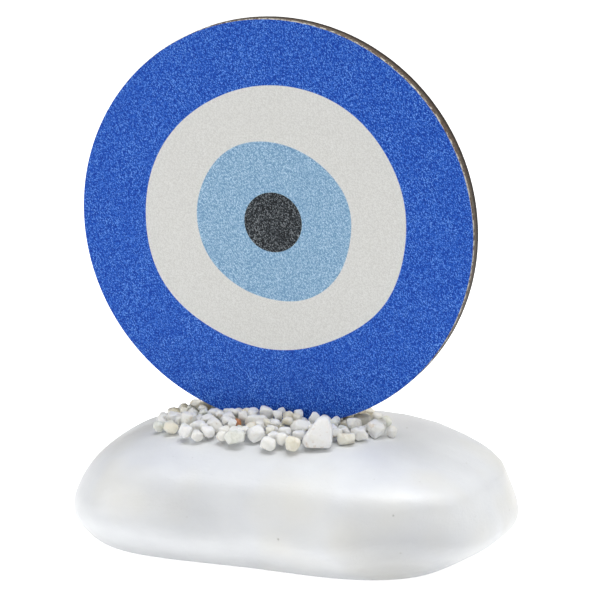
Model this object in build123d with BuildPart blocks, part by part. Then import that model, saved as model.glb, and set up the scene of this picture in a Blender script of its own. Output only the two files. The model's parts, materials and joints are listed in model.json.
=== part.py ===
from build123d import *

import os
from dataclasses import dataclass
from math import cos, exp, pi, radians, sin

import numpy as np

# An evil eye ornament: a painted eye disc stands in a cast stone, its foot hidden in marble gravel.
# Millimetres. +Z is up and the eye looks along -Y. The origin is on the table under the stone's middle.

# ---------------------------------------------------------------- driving dimensions

STONE_LENGTH = 121.6            # along X at the girth, before the corner swells
STONE_WIDTH = 71.4              # along Y, likewise
STONE_HEIGHT = 34.3
STONE_SQUARENESS = 2.5          # 2 is an ellipse, more is nearer to a rectangle
STONE_TURN = 3.3                # degrees from the disc's own direction
STONE_MIDDLE = (0.0, 0.75)      # middle of the girth, which puts the origin in the middle of the whole

DISC_DIAMETER = 110.0
DISC_X = -4.8                   # the disc stands a little left of the stone's middle
DISC_FACE_Y = -1.2              # front of the painted face
DISC_SINK = 0.8                 # how far the disc's edge goes below the stone's top
BOARD_THICKNESS = 4.0
FILM_THICKNESS = 0.35           # the painted face on the front of the board
FILM_EDGE_INSET = 0.15

TAB_WIDTH = 30.0                # the tongue below the disc that stands in the stone
TAB_DEPTH = 10.0                # how far the tongue goes below the stone's top
SLOT_CLEARANCE = 0.6            # room for adhesive on each side of the tongue and below it
ADHESIVE_DROP = 0.4             # the adhesive ends this far below the disc's edge

# Radii of the painted fields about the disc's middle, every 30 degrees counter-clockwise from +X.
# They were laid out by hand, so they wander.
WHITE_RADII = (36.6, 37.4, 38.0, 37.5, 36.9, 37.0, 36.7, 36.7, 34.8, 34.3, 34.5, 36.3)
LIGHT_BLUE_RADII = (21.5, 21.8, 21.5, 22.2, 23.2, 22.6, 21.9, 21.1, 20.3, 20.5, 21.7, 21.7)
PUPIL_RADIUS = 8.1
PUPIL_SHIFT = (-0.3, 0.65)

GRAVEL_LENGTH = 64.0            # the bed of gravel around the disc's foot, along X
GRAVEL_WIDTH = 35.0             # along Y
GRAVEL_SHIFT_Y = -3.0           # the bed reaches further forward than back
GRAVEL_DEPTH = 4.7              # at the disc
GRAVEL_EDGE_DEPTH = 3.6         # around the border
CHIP_CLEARANCE = 0.12           # kept free around each chip
CHIP_SEED = 11

# ---------------------------------------------------------------- derived places

DISC_RADIUS = DISC_DIAMETER / 2
DISC_BOTTOM = STONE_HEIGHT - DISC_SINK
DISC_MIDDLE_Z = DISC_BOTTOM + DISC_RADIUS
BOARD_FRONT_Y = DISC_FACE_Y + FILM_THICKNESS
BOARD_BACK_Y = BOARD_FRONT_Y + BOARD_THICKNESS
TAB_BOTTOM = STONE_HEIGHT - TAB_DEPTH
SLOT_FLOOR = TAB_BOTTOM - SLOT_CLEARANCE
ADHESIVE_TOP = DISC_BOTTOM - ADHESIVE_DROP

BOARD_BACK = Plane((DISC_X, BOARD_BACK_Y, DISC_MIDDLE_Z), x_dir=(1, 0, 0), z_dir=(0, -1, 0))
FILM_BACK = BOARD_BACK.offset(BOARD_THICKNESS)

# ---------------------------------------------------------------- stone

# Stations of the stone, from the table up. Each has its height as a share of the stone's height, the
# shift of its middle in X and Y, and its length and width as shares of the girth's.
STATIONS = (
    (0.000, -4.2, 5.2, 0.830, 0.790),
    (0.050, -3.4, 4.4, 0.885, 0.870),
    (0.146, -2.2, 3.0, 0.952, 0.941),
    (0.320, 0.0, 0.0, 1.000, 1.000),
    (0.530, 0.9, -0.9, 0.965, 0.978),
    (0.700, 2.6, -0.4, 0.900, 0.910),
    (0.820, 3.5, 0.7, 0.800, 0.810),
    (0.900, 3.7, 1.8, 0.670, 0.700),
    (0.955, 3.6, 2.6, 0.510, 0.560),
    (0.990, 3.4, 3.2, 0.320, 0.380),
    (1.000, 3.4, 3.2, 0.140, 0.180),
)
OUTLINE_POINTS = 16

# Swells of the stone's two front corners: direction in degrees, how far out as a share, and width.
CORNER_SWELLS = (
    (233.0, 0.088, 0.40),
    (301.0, 0.148, 0.35),
)


def squared_off(value):
    """A sine or cosine pushed outwards, so that a circle becomes a rounded square."""
    return np.sign(value) * abs(value) ** (2 / STONE_SQUARENESS)


def swell(angle):
    """How far the outline stands out at this angle, as a factor."""
    factor = 1.0
    for direction, height, width in CORNER_SWELLS:
        away = (angle - radians(direction) + pi) % (2 * pi) - pi
        factor += height * exp(-((away / width) ** 2))
    return factor


def station_outline(shift_x, shift_y, length_share, width_share):
    """Points of one station's outline, turned as the stone is."""
    points = []
    for step in range(OUTLINE_POINTS):
        angle = 2 * pi * step / OUTLINE_POINTS
        reach = swell(angle)
        x = shift_x + STONE_LENGTH / 2 * length_share * reach * squared_off(cos(angle))
        y = shift_y + STONE_WIDTH / 2 * width_share * reach * squared_off(sin(angle))
        points.append(Vector(x, y).rotate(Axis.Z, STONE_TURN) + Vector(*STONE_MIDDLE))
    return [(point.X, point.Y) for point in points]


with BuildPart() as stone_base:
    for height_share, shift_x, shift_y, length_share, width_share in STATIONS:
        with BuildSketch(Plane.XY.offset(height_share * STONE_HEIGHT)):
            with BuildLine():
                Spline(station_outline(shift_x, shift_y, length_share, width_share), periodic=True)
            make_face()
    loft()
    stone_mesh = stone_base.part.tessellate(0.02, 0.15)
    with BuildSketch(BOARD_BACK.offset(-SLOT_CLEARANCE)):
        with Locations((0, SLOT_FLOOR - DISC_MIDDLE_Z)):
            Rectangle(TAB_WIDTH + 2 * SLOT_CLEARANCE, DISC_RADIUS, align=(Align.CENTER, Align.MIN))
    extrude(amount=BOARD_THICKNESS + 2 * SLOT_CLEARANCE, mode=Mode.SUBTRACT)

# ---------------------------------------------------------------- eye board

with BuildPart() as eye_board:
    with BuildSketch(BOARD_BACK):
        Circle(DISC_RADIUS)
        with Locations((0, TAB_BOTTOM - DISC_MIDDLE_Z)):
            Rectangle(TAB_WIDTH, DISC_RADIUS / 2, align=(Align.CENTER, Align.MIN))
    extrude(amount=BOARD_THICKNESS)

with BuildPart() as slot_adhesive:
    with BuildSketch(BOARD_BACK.offset(-SLOT_CLEARANCE)):
        with Locations((0, SLOT_FLOOR - DISC_MIDDLE_Z)):
            Rectangle(
                TAB_WIDTH + 2 * SLOT_CLEARANCE, ADHESIVE_TOP - SLOT_FLOOR, align=(Align.CENTER, Align.MIN)
            )
    extrude(amount=BOARD_THICKNESS + 2 * SLOT_CLEARANCE)
    with BuildSketch(BOARD_BACK):
        with Locations((0, TAB_BOTTOM - DISC_MIDDLE_Z)):
            Rectangle(TAB_WIDTH, DISC_RADIUS / 2, align=(Align.CENTER, Align.MIN))
    extrude(amount=BOARD_THICKNESS, mode=Mode.SUBTRACT)

# ---------------------------------------------------------------- painted face


def wandering_ring(radii):
    """The inside of a closed curve through these radii, spread evenly around the middle."""
    points = []
    for step, radius in enumerate(radii):
        angle = 2 * pi * step / len(radii)
        points.append((radius * cos(angle), radius * sin(angle)))
    with BuildSketch(mode=Mode.PRIVATE) as ring:
        with BuildLine():
            Spline(points, periodic=True)
        make_face()
    return ring.sketch


WHITE_OUTLINE = wandering_ring(WHITE_RADII)
LIGHT_BLUE_OUTLINE = wandering_ring(LIGHT_BLUE_RADII)

with BuildPart() as blue_field:
    with BuildSketch(FILM_BACK):
        Circle(DISC_RADIUS - FILM_EDGE_INSET)
        add(WHITE_OUTLINE, mode=Mode.SUBTRACT)
    extrude(amount=FILM_THICKNESS)

with BuildPart() as white_field:
    with BuildSketch(FILM_BACK):
        add(WHITE_OUTLINE)
        add(LIGHT_BLUE_OUTLINE, mode=Mode.SUBTRACT)
    extrude(amount=FILM_THICKNESS)

with BuildPart() as light_blue_field:
    with BuildSketch(FILM_BACK):
        add(LIGHT_BLUE_OUTLINE)
        with Locations(PUPIL_SHIFT):
            Circle(PUPIL_RADIUS, mode=Mode.SUBTRACT)
    extrude(amount=FILM_THICKNESS)

with BuildPart() as pupil_field:
    with BuildSketch(FILM_BACK):
        with Locations(PUPIL_SHIFT):
            Circle(PUPIL_RADIUS)
    extrude(amount=FILM_THICKNESS)

# ---------------------------------------------------------------- gravel

GRID_STEP = 0.2                 # of the height map that the chips are set down on
BLOCKED = -1.0                  # a ceiling that nothing fits under
PLACES_TRIED = 250              # for each chip
SNUGNESS = 0.6                  # how much a place among neighbours counts against a low one
MOVE_STEP = 0.3                 # by which a hand-placed chip is moved off the disc

# Broken marble comes in these sizes: how many, shortest and longest side.
GRADES = (
    (24, 4.4, 5.6),
    (70, 3.4, 4.4),
    (90, 2.6, 3.4),
    (80, 1.9, 2.6),
)
TONES = ("white", "cream", "grey")
TONE_SHARES = (0.78, 0.15, 0.07)
LARGE_PARTS = ("white",)        # tones with so many chips that they are parted into left, middle and right

# Chips that stand out: name, tone, place from the foot of the disc's face, size, and turn in degrees.
LANDMARK_CHIPS = (
    ("wedge_chip", "white", (17.2, -14.6), (8.0, 4.8, 7.4), (0, 0, 14)),
    ("cream_block_chip", "cream", (24.0, -10.9), (4.4, 2.9, 2.6), (0, 4, 8)),
    ("slab_chip", "white", (26.5, -7.1), (4.7, 2.9, 3.2), (6, 12, 14)),
    ("boulder_chip", "white", (29.8, -2.9), (4.2, 3.7, 4.3), (5, -8, 25)),
    ("long_chip", "white", (9.9, -8.4), (6.4, 3.3, 3.8), (0, -30, 22)),
    ("yellow_chip", "cream", (11.5, -18.1), (3.8, 3.2, 3.6), (12, 38, 0)),
    ("tan_chip", "cream", (5.2, -2.8), (3.0, 2.6, 3.8), (0, 10, 30)),
    ("left_twin_chip", "white", (-5.7, -2.2), (3.2, 2.8, 3.5), (6, 8, 0)),
    ("right_twin_chip", "white", (-1.4, -2.4), (3.6, 3.0, 4.2), (-4, 10, 10)),
    ("flat_chip", "white", (-2.7, -7.6), (5.4, 3.4, 3.3), (0, 8, 8)),
    ("rust_chip", "rust", (-7.6, -9.2), (2.3, 2.0, 2.4), (0, 15, 30)),
    ("green_grey_chip", "grey", (-4.6, -17.8), (5.0, 3.4, 3.5), (5, 10, -8)),
)

# More chips in the front of the bed: tone, place, size and turn.
FRONT_CHIPS = (
    ("grey", (-29.7, -9.8), (2.6, 2.3, 2.3), (0, 10, 20)),
    ("cream", (-25.0, -12.0), (4.3, 2.8, 2.7), (0, -8, 12)),
    ("white", (-19.5, -16.2), (3.4, 2.8, 3.0), (0, 12, -15)),
    ("white", (-15.6, -16.8), (2.9, 2.4, 2.3), (10, 0, 5)),
    ("cream", (-29.1, 0.8), (2.6, 2.4, 2.6), (0, 14, 30)),
    ("white", (-28.6, 5.4), (2.5, 2.3, 2.3), (8, 0, 50)),
    ("grey", (-24.4, 1.6), (2.5, 2.4, 3.2), (0, -10, 25)),
    ("white", (-21.6, -8.2), (3.7, 3.2, 3.4), (5, 8, 40)),
    ("grey", (-19.5, -2.2), (2.5, 2.3, 3.1), (0, 24, 10)),
    ("white", (-15.9, -3.4), (3.4, 2.7, 3.2), (6, -6, 15)),
    ("white", (-13.0, -1.8), (2.2, 1.9, 2.5), (-8, 10, 20)),
    ("cream", (-9.6, -1.8), (3.3, 2.2, 3.0), (0, 6, 0)),
    ("white", (-11.0, -6.4), (3.5, 3.0, 3.2), (6, -10, 35)),
    ("white", (-7.3, -5.4), (2.1, 1.9, 2.3), (0, 12, 60)),
    ("white", (-12.9, -11.0), (4.7, 3.2, 2.9), (0, 6, -6)),
    ("white", (-9.2, -13.6), (3.0, 2.3, 2.3), (8, 4, 15)),
    ("white", (-17.6, -12.2), (4.0, 3.0, 2.8), (4, 8, 20)),
    ("white", (0.3, -14.8), (4.4, 3.4, 3.8), (0, -18, 20)),
    ("white", (3.2, -10.8), (3.0, 2.4, 2.3), (0, 10, -20)),
    ("white", (4.9, -18.4), (3.9, 2.9, 3.0), (6, -8, 10)),
    ("white", (8.2, -15.9), (3.2, 2.8, 3.3), (-6, 10, 30)),
    ("white", (2.1, -5.4), (2.4, 2.0, 2.3), (8, 0, 35)),
    ("cream", (4.1, -7.4), (2.2, 1.8, 2.0), (0, 12, 15)),
    ("white", (7.2, -11.9), (3.3, 2.5, 2.7), (0, 8, 20)),
    ("white", (9.0, -2.4), (2.3, 2.0, 2.3), (6, 6, 45)),
    ("white", (12.2, -2.4), (2.8, 2.4, 4.2), (0, -10, 15)),
    ("grey", (17.8, -3.4), (2.5, 2.4, 3.4), (5, 5, 20)),
    ("cream", (20.0, 0.2), (2.1, 2.0, 2.0), (0, 10, 40)),
    ("grey", (21.2, -5.2), (2.4, 2.2, 2.4), (8, 0, 10)),
    ("white", (23.6, -2.4), (3.5, 2.9, 3.6), (0, -12, 25)),
    ("cream", (23.2, 9.6), (4.0, 3.2, 2.9), (0, 8, 15)),
    ("grey", (29.5, 6.4), (2.6, 2.4, 2.5), (5, 10, 30)),
    ("white", (33.2, -0.2), (2.6, 2.2, 2.8), (0, 8, 50)),
)

# The wedge is a leaning tooth: slices off its left flank, right shoulder, front and left foot.
WEDGE_CUTS = [
    ((0, 36, 0), (12, 12, 14), (3.4, 0, -2.5)),
    ((0, -20, 0), (12, 12, 14), (-1.9, 0, -0.7)),
    ((-18, 0, 8), (14, 12, 14), (0, 3.9, -1.3)),
    ((0, -40, 0), (12, 12, 14), (1.2, 0, 1.0)),
]


@dataclass
class Chip:
    """A marble chip: boxes turned and shifted against each other, of which the shared part is left."""

    name: str
    tone: str
    size: tuple
    turn: tuple
    cuts: list
    place: tuple = (0, 0, 0)

    def __post_init__(self):
        """Work out the chip's sides once."""
        self.facets = self.flat_sides()
        self.reach = np.linalg.norm(self.size) / 2 + CHIP_CLEARANCE

    def flat_sides(self):
        """Outward directions of the chip's flat sides and their distances from its middle."""
        directions = []
        distances = []
        for box_turn, box_size, shift in [((0, 0, 0), self.size, (0, 0, 0))] + self.cuts:
            frame = Plane(Location((0, 0, 0), self.turn) * Location(shift, box_turn))
            for axis, length in zip((frame.x_dir, frame.y_dir, frame.z_dir), box_size):
                for side in (axis, axis * -1):
                    directions.append(tuple(side))
                    distances.append(length / 2 + frame.origin.dot(side))
        return np.array(directions), np.array(distances)

    def solid(self):
        """The chip in its place."""
        with BuildPart() as blank:
            Box(*self.size)
            for box_turn, box_size, shift in self.cuts:
                with Locations(shift):
                    Box(*box_size, rotation=box_turn, mode=Mode.INTERSECT)
        return Location(self.place, self.turn) * blank.part


def broken_corners(size, chance):
    """Two boxes about as big as the blank, turned and shifted, that break off its corners."""
    cuts = []
    for _ in range(2):
        turn = tuple(chance.choice((-1, 1), 3) * chance.uniform(18, 48, 3))
        cut_size = tuple(np.array(size) * chance.uniform(0.94, 1.12, 3))
        shift = tuple(np.array(size) * chance.uniform(-0.09, 0.09, 3))
        cuts.append((turn, cut_size, shift))
    return cuts


class Pile:
    """Height map of the stone and the gravel on it, with the disc's edge as a ceiling."""

    def __init__(self, stone_mesh):
        """Read the stone's top off the triangles of its surface."""
        margin = 6
        reach_x = GRAVEL_LENGTH / 2 + margin
        reach_y = GRAVEL_WIDTH / 2 + margin
        self.middle = (DISC_X, (BOARD_FRONT_Y + BOARD_BACK_Y) / 2 + GRAVEL_SHIFT_Y)
        self.x = np.arange(self.middle[0] - reach_x, self.middle[0] + reach_x, GRID_STEP)
        self.y = np.arange(self.middle[1] - reach_y, self.middle[1] + reach_y, GRID_STEP)
        grid_x, grid_y = np.meshgrid(self.x, self.y, indexing="ij")
        self.stone = self.highest_nearby(self.height_of(stone_mesh))
        self.top = self.stone.copy()
        self.ceiling = self.disc_underside(grid_x, grid_y)

    def window(self, low_x, high_x, low_y, high_y):
        """The stretch of the grid between these limits."""
        first_x, last_x = np.searchsorted(self.x, (low_x, high_x))
        first_y, last_y = np.searchsorted(self.y, (low_y, high_y))
        return slice(first_x, last_x), slice(first_y, last_y)

    def height_of(self, mesh):
        """Highest point of a mesh over each point of the grid."""
        points = np.array([tuple(point) for point in mesh[0]])
        height = np.zeros((len(self.x), len(self.y)))
        for corners in points[np.array(mesh[1])]:
            (low_x, low_y, _), (high_x, high_y, _) = corners.min(axis=0), corners.max(axis=0)
            window = self.window(low_x, high_x, low_y, high_y)
            normal = np.cross(corners[1] - corners[0], corners[2] - corners[0])
            if height[window].size == 0 or normal[2] < 1e-9:
                continue
            away_x, away_y = np.meshgrid(
                self.x[window[0]] - corners[0][0], self.y[window[1]] - corners[0][1], indexing="ij"
            )
            inside = np.full(away_x.shape, True)
            for start, end in zip(corners, np.roll(corners, -1, axis=0)):
                edge = end - start
                from_start_x = away_x + corners[0][0] - start[0]
                from_start_y = away_y + corners[0][1] - start[1]
                inside &= edge[0] * from_start_y - edge[1] * from_start_x > -1e-6
            plane = corners[0][2] - (normal[0] * away_x + normal[1] * away_y) / normal[2]
            height[window] = np.where(inside, np.maximum(height[window], plane), height[window])
        return height

    def highest_nearby(self, height):
        """The height map with each point raised to the highest of its neighbours."""
        spread = np.pad(height, 1, mode="edge")
        shifts = [(along, across) for along in range(3) for across in range(3)]
        rows, columns = height.shape
        return np.max([spread[i : i + rows, j : j + columns] for i, j in shifts], axis=0)

    def disc_underside(self, grid_x, grid_y):
        """Height of the disc's edge over each point of the grid, and blocked where its tongue stands."""
        from_middle = abs(grid_x - DISC_X)
        chord = np.sqrt(np.clip(DISC_RADIUS**2 - from_middle**2, 0, None))
        underside = DISC_MIDDLE_Z - chord - CHIP_CLEARANCE
        underside = np.where(from_middle < TAB_WIDTH / 2 + CHIP_CLEARANCE, BLOCKED, underside)
        in_front = grid_y < DISC_FACE_Y - CHIP_CLEARANCE
        behind = grid_y > BOARD_BACK_Y + CHIP_CLEARANCE
        return np.where(in_front | behind, np.inf, underside)

    def allowed(self, x, y):
        """How high the gravel may stand above the stone here, or nothing outside the bed."""
        across = (x - self.middle[0]) / (GRAVEL_LENGTH / 2)
        along = (y - self.middle[1]) / (GRAVEL_WIDTH / 2)
        outward = np.hypot(across, along)
        if outward > 1:
            return 0.0
        return GRAVEL_DEPTH + (GRAVEL_EDGE_DEPTH - GRAVEL_DEPTH) * outward

    def lower(self, chip, x, y):
        """Let the chip down here. Give its height, where it lies on the grid, and its top there."""
        directions, distances = chip.facets
        reach = chip.reach
        window = self.window(x - reach, x + reach, y - reach, y + reach)
        away_x, away_y = np.meshgrid(self.x[window[0]] - x, self.y[window[1]] - y, indexing="ij")
        bottom = np.full(away_x.shape, -np.inf)
        top = np.full(away_x.shape, np.inf)
        for (tilt_x, tilt_y, tilt_z), distance in zip(directions, distances + CHIP_CLEARANCE):
            rest = distance - tilt_x * away_x - tilt_y * away_y
            if tilt_z > 1e-6:
                top = np.minimum(top, rest / tilt_z)
            elif tilt_z < -1e-6:
                bottom = np.maximum(bottom, rest / tilt_z)
            else:
                top = np.where(rest < 0, -np.inf, top)
        under = bottom < top
        height = (self.top[window] - bottom)[under].max()
        return height, window, under, height + top

    def clear_of_disc(self, chip, x, y):
        """Whether the chip would lie here without touching the disc or its tongue."""
        _, window, under, top = self.lower(chip, x, y)
        return not (top > self.ceiling[window])[under].any()

    def rating(self, chip, x, y):
        """How badly the chip would lie here: too high over the stone, or with nothing beside it."""
        allowed = self.allowed(x, y)
        if allowed == 0:
            return np.inf
        _, window, under, top = self.lower(chip, x, y)
        if (top > self.ceiling[window])[under].any():
            return np.inf
        height = (top - self.stone[window])[under].max() / allowed
        if height > 1:
            return np.inf
        taken = (self.top[window] > self.stone[window]) | np.isfinite(self.ceiling[window])
        return height - SNUGNESS * taken[~under].mean()

    def put(self, chip, x, y):
        """Leave the chip here and raise the pile by it."""
        height, window, under, top = self.lower(chip, x, y)
        chip.place = (float(x), float(y), float(height))
        self.top[window] = np.where(under, np.maximum(self.top[window], top), self.top[window])


def group_name(tone, x, y):
    """The node of a chip: by the side of the disc that it is on, its tone, and for white its part."""
    side = "front" if y < DISC_FACE_Y else "back"
    if tone not in LARGE_PARTS:
        return f"{side}_{tone}_gravel"
    third = GRAVEL_LENGTH / 6
    part = "left" if x < DISC_X - third else "right" if x > DISC_X + third else "middle"
    return f"{side}_{part}_{tone}_gravel"


def placed_chips(pile, chance):
    """The chips that have a place of their own, moved off the disc where they would touch it."""
    chips = []
    named = list(LANDMARK_CHIPS) + [("", *entry) for entry in FRONT_CHIPS]
    for name, tone, (away_x, away_y), size, turn in named:
        cuts = WEDGE_CUTS if name == "wedge_chip" else broken_corners(size, chance)
        chip = Chip(name, tone, size, turn, cuts)
        x = DISC_X + away_x
        y = DISC_FACE_Y + away_y
        outward = MOVE_STEP if away_y > 0 else -MOVE_STEP
        while not pile.clear_of_disc(chip, x, y):
            y += outward
        pile.put(chip, x, y)
        chip.name = name or group_name(tone, x, y)
        chips.append(chip)
    return chips


def poured_chips(pile, chance):
    """The rest of the gravel: each chip goes to the best of the places tried for it."""
    chips = []
    for count, shortest, longest in GRADES:
        for _ in range(count):
            length = chance.uniform(shortest, longest)
            size = (length, length * chance.uniform(0.72, 0.95), length * chance.uniform(0.6, 0.85))
            turn = (chance.uniform(-25, 25), chance.uniform(-25, 25), chance.uniform(0, 360))
            tone = str(chance.choice(TONES, p=TONE_SHARES))
            chip = Chip("", tone, size, turn, broken_corners(size, chance))
            tries = []
            for _ in range(PLACES_TRIED):
                x = pile.middle[0] + chance.uniform(-0.5, 0.5) * GRAVEL_LENGTH
                y = pile.middle[1] + chance.uniform(-0.5, 0.5) * GRAVEL_WIDTH
                tries.append((pile.rating(chip, x, y), x, y))
            best, x, y = min(tries)
            if best < np.inf:
                pile.put(chip, x, y)
                chip.name = group_name(tone, x, y)
                chips.append(chip)
    return chips


CHANCE = np.random.default_rng(CHIP_SEED)
PILE = Pile(stone_mesh)
CHIPS = placed_chips(PILE, CHANCE) + poured_chips(PILE, CHANCE)

# ---------------------------------------------------------------- labels and files

PIECES = {
    "stone_base": stone_base,
    "eye_board": eye_board,
    "slot_adhesive": slot_adhesive,
    "blue_field": blue_field,
    "white_field": white_field,
    "light_blue_field": light_blue_field,
    "pupil_field": pupil_field,
}

for group in sorted({chip.name for chip in CHIPS}):
    with BuildPart() as gravel:
        add([chip.solid() for chip in CHIPS if chip.name == group])
    PIECES[group] = gravel

os.makedirs("parts", exist_ok=True)
for label, piece in PIECES.items():
    piece.part.label = label
    export_step(piece.part, f"parts/{label}.step")
print(len(CHIPS), "chips in", len(PIECES), "nodes")
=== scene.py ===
"""Looks of an evil eye ornament: a painted disc in a white stone, its foot bedded in marble gravel."""

from __future__ import annotations

import json
import logging
import math
from collections.abc import Iterable, Sequence
from dataclasses import dataclass, field, replace
from enum import Enum

import bmesh
import bpy
import numpy as np
from mathutils import Euler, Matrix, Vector, noise

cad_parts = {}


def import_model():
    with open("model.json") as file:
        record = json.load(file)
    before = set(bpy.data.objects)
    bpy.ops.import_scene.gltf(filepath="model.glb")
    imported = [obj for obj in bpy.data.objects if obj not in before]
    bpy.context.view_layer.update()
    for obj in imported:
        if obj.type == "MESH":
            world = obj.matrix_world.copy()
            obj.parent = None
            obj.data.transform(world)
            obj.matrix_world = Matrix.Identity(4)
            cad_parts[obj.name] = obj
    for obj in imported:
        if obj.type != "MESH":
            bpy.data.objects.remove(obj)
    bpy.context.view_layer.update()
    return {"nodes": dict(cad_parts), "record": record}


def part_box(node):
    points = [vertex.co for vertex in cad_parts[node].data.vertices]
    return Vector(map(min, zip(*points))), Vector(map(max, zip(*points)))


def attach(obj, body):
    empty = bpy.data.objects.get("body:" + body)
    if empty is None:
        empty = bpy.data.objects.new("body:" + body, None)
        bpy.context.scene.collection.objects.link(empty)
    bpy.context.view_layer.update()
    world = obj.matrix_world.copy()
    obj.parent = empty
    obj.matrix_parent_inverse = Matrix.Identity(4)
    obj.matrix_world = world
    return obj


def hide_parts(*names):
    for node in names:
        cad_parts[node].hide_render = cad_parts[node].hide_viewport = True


LOG = logging.getLogger("evil_eye_ornament")
MM = 0.001
ROOT = "root"

Colour = tuple[float, float, float]


def srgb(red: int, green: int, blue: int) -> Colour:
    """Linear colour from the usual 0 to 255 values.

    Args:
        red: Red, 0 to 255.
        green: Green, 0 to 255.
        blue: Blue, 0 to 255.

    Returns:
        The same colour as linear values from 0 to 1.
    """
    channels = []
    for value in (red, green, blue):
        share = value / 255
        channels.append(share / 12.92 if share <= 0.04045 else ((share + 0.055) / 1.055) ** 2.4)
    return tuple(channels)


# ---------------------------------------------------------------- finishes


class Shading:
    """A material under construction: its nodes, and short ways to add to them."""

    def __init__(self, name: str) -> None:
        """Start a material with a bare principled shader.

        Args:
            name: The material's name.
        """
        self.material = bpy.data.materials.new(name)
        self.material.use_nodes = True
        self.nodes = self.material.node_tree.nodes
        self.links = self.material.node_tree.links
        self.surface = self.nodes["Principled BSDF"]
        self.place = self.node("ShaderNodeTexCoord").outputs["Object"]

    def node(self, kind: str, **settings: object) -> bpy.types.Node:
        """Add a node.

        Args:
            kind: The node's type.
            **settings: Its properties.

        Returns:
            The node.
        """
        made = self.nodes.new(kind)
        for name, value in settings.items():
            setattr(made, name, value)
        return made

    def feed(self, source: object, socket: bpy.types.NodeSocket) -> None:
        """Link an output to a socket, or set the socket where the source is a plain value.

        Args:
            source: An output socket, a number or a colour.
            socket: The input socket.
        """
        if isinstance(source, bpy.types.NodeSocket):
            self.links.new(source, socket)
        elif isinstance(source, (int, float)):
            socket.default_value = source
        else:
            wide = len(socket.default_value) == 4 and len(source) == 3
            socket.default_value = (*source, 1) if wide else source

    def stretched(self, turn: Sequence[float], scale: Sequence[float]) -> bpy.types.NodeSocket:
        """Object coordinates, turned and then scaled.

        Args:
            turn: Angles in degrees about X, Y and Z.
            scale: Factors along the turned axes, per millimetre.

        Returns:
            The vector output.
        """
        turned = self.node("ShaderNodeMapping", vector_type="POINT")
        self.feed(self.place, turned.inputs["Vector"])
        turned.inputs["Rotation"].default_value = [math.radians(angle) for angle in turn]
        scaled = self.node("ShaderNodeVectorMath", operation="MULTIPLY")
        self.feed(turned.outputs["Vector"], scaled.inputs[0])
        scaled.inputs[1].default_value = [factor / MM for factor in scale]
        return scaled.outputs["Vector"]

    def grain(
        self, size: float, detail: float = 2.0, rough: float = 0.5, vector: object = None
    ) -> bpy.types.NodeSocket:
        """Smooth noise from 0 to 1.

        Args:
            size: Width of a patch in millimetres, or in stretched units where a vector is given.
            detail: Octaves.
            rough: How strong the finer octaves are.
            vector: Coordinates to use in place of the object's.

        Returns:
            The noise value.
        """
        made = self.node("ShaderNodeTexNoise")
        self.feed(self.place if vector is None else vector, made.inputs["Vector"])
        made.inputs["Scale"].default_value = 1 / size if vector is not None else 1 / (size * MM)
        made.inputs["Detail"].default_value = detail
        made.inputs["Roughness"].default_value = rough
        return made.outputs["Fac"]

    def cells(self, size: float, vector: object = None) -> bpy.types.NodeSocket:
        """Distance to the nearest of many scattered points, in cell widths.

        Args:
            size: Mean distance between the points in millimetres.
            vector: Coordinates to use in place of the object's.

        Returns:
            The distance.
        """
        made = self.node("ShaderNodeTexVoronoi")
        self.feed(self.place if vector is None else vector, made.inputs["Vector"])
        made.inputs["Scale"].default_value = 1 / size if vector is not None else 1 / (size * MM)
        return made.outputs["Distance"]

    def span(
        self, value: object, low: float, high: float, start: float = 0.0, end: float = 1.0
    ) -> bpy.types.NodeSocket:
        """Map a value's range onto another, cut off at both ends.

        Args:
            value: The value.
            low: Value that becomes start.
            high: Value that becomes end.
            start: First result.
            end: Last result.

        Returns:
            The mapped value.
        """
        made = self.node("ShaderNodeMapRange", clamp=True)
        self.feed(value, made.inputs["Value"])
        for name, number in (("From Min", low), ("From Max", high), ("To Min", start), ("To Max", end)):
            made.inputs[name].default_value = number
        return made.outputs["Result"]

    def mix(self, share: object, first: object, second: object, blend: str = "MIX") -> bpy.types.NodeSocket:
        """Mix two colours.

        Args:
            share: How much of the second, 0 to 1.
            first: First colour.
            second: Second colour.
            blend: How they are mixed.

        Returns:
            The mixed colour.
        """
        made = self.node("ShaderNodeMix", data_type="RGBA", blend_type=blend)
        self.feed(share, made.inputs["Factor"])
        self.feed(first, made.inputs[6])
        self.feed(second, made.inputs[7])
        return made.outputs[2]

    def math(self, operation: str, first: object, second: object = 0.0) -> bpy.types.NodeSocket:
        """One step of arithmetic.

        Args:
            operation: The operation's name.
            first: First value.
            second: Second value.

        Returns:
            The result.
        """
        made = self.node("ShaderNodeMath", operation=operation)
        self.feed(first, made.inputs[0])
        self.feed(second, made.inputs[1])
        return made.outputs[0]

    def relief(self, *layers: tuple[object, float]) -> None:
        """Raise the surface by several heights, one bump on another.

        Args:
            *layers: Pairs of a height value from 0 to 1 and its depth in millimetres.
        """
        normal = None
        for height, depth in layers:
            bump = self.node("ShaderNodeBump")
            bump.inputs["Strength"].default_value = 1.0
            bump.inputs["Distance"].default_value = depth * MM
            self.feed(height, bump.inputs["Height"])
            if normal is not None:
                self.feed(normal, bump.inputs["Normal"])
            normal = bump.outputs["Normal"]
        self.feed(normal, self.surface.inputs["Normal"])

    def finish(self, colour: object, roughness: object, specular: float = 0.5) -> bpy.types.Material:
        """Set the shader and give the material.

        Args:
            colour: Base colour.
            roughness: Roughness.
            specular: Specular level.

        Returns:
            The material.
        """
        self.feed(colour, self.surface.inputs["Base Color"])
        self.feed(roughness, self.surface.inputs["Roughness"])
        self.surface.inputs["Specular IOR Level"].default_value = specular
        return self.material


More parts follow.
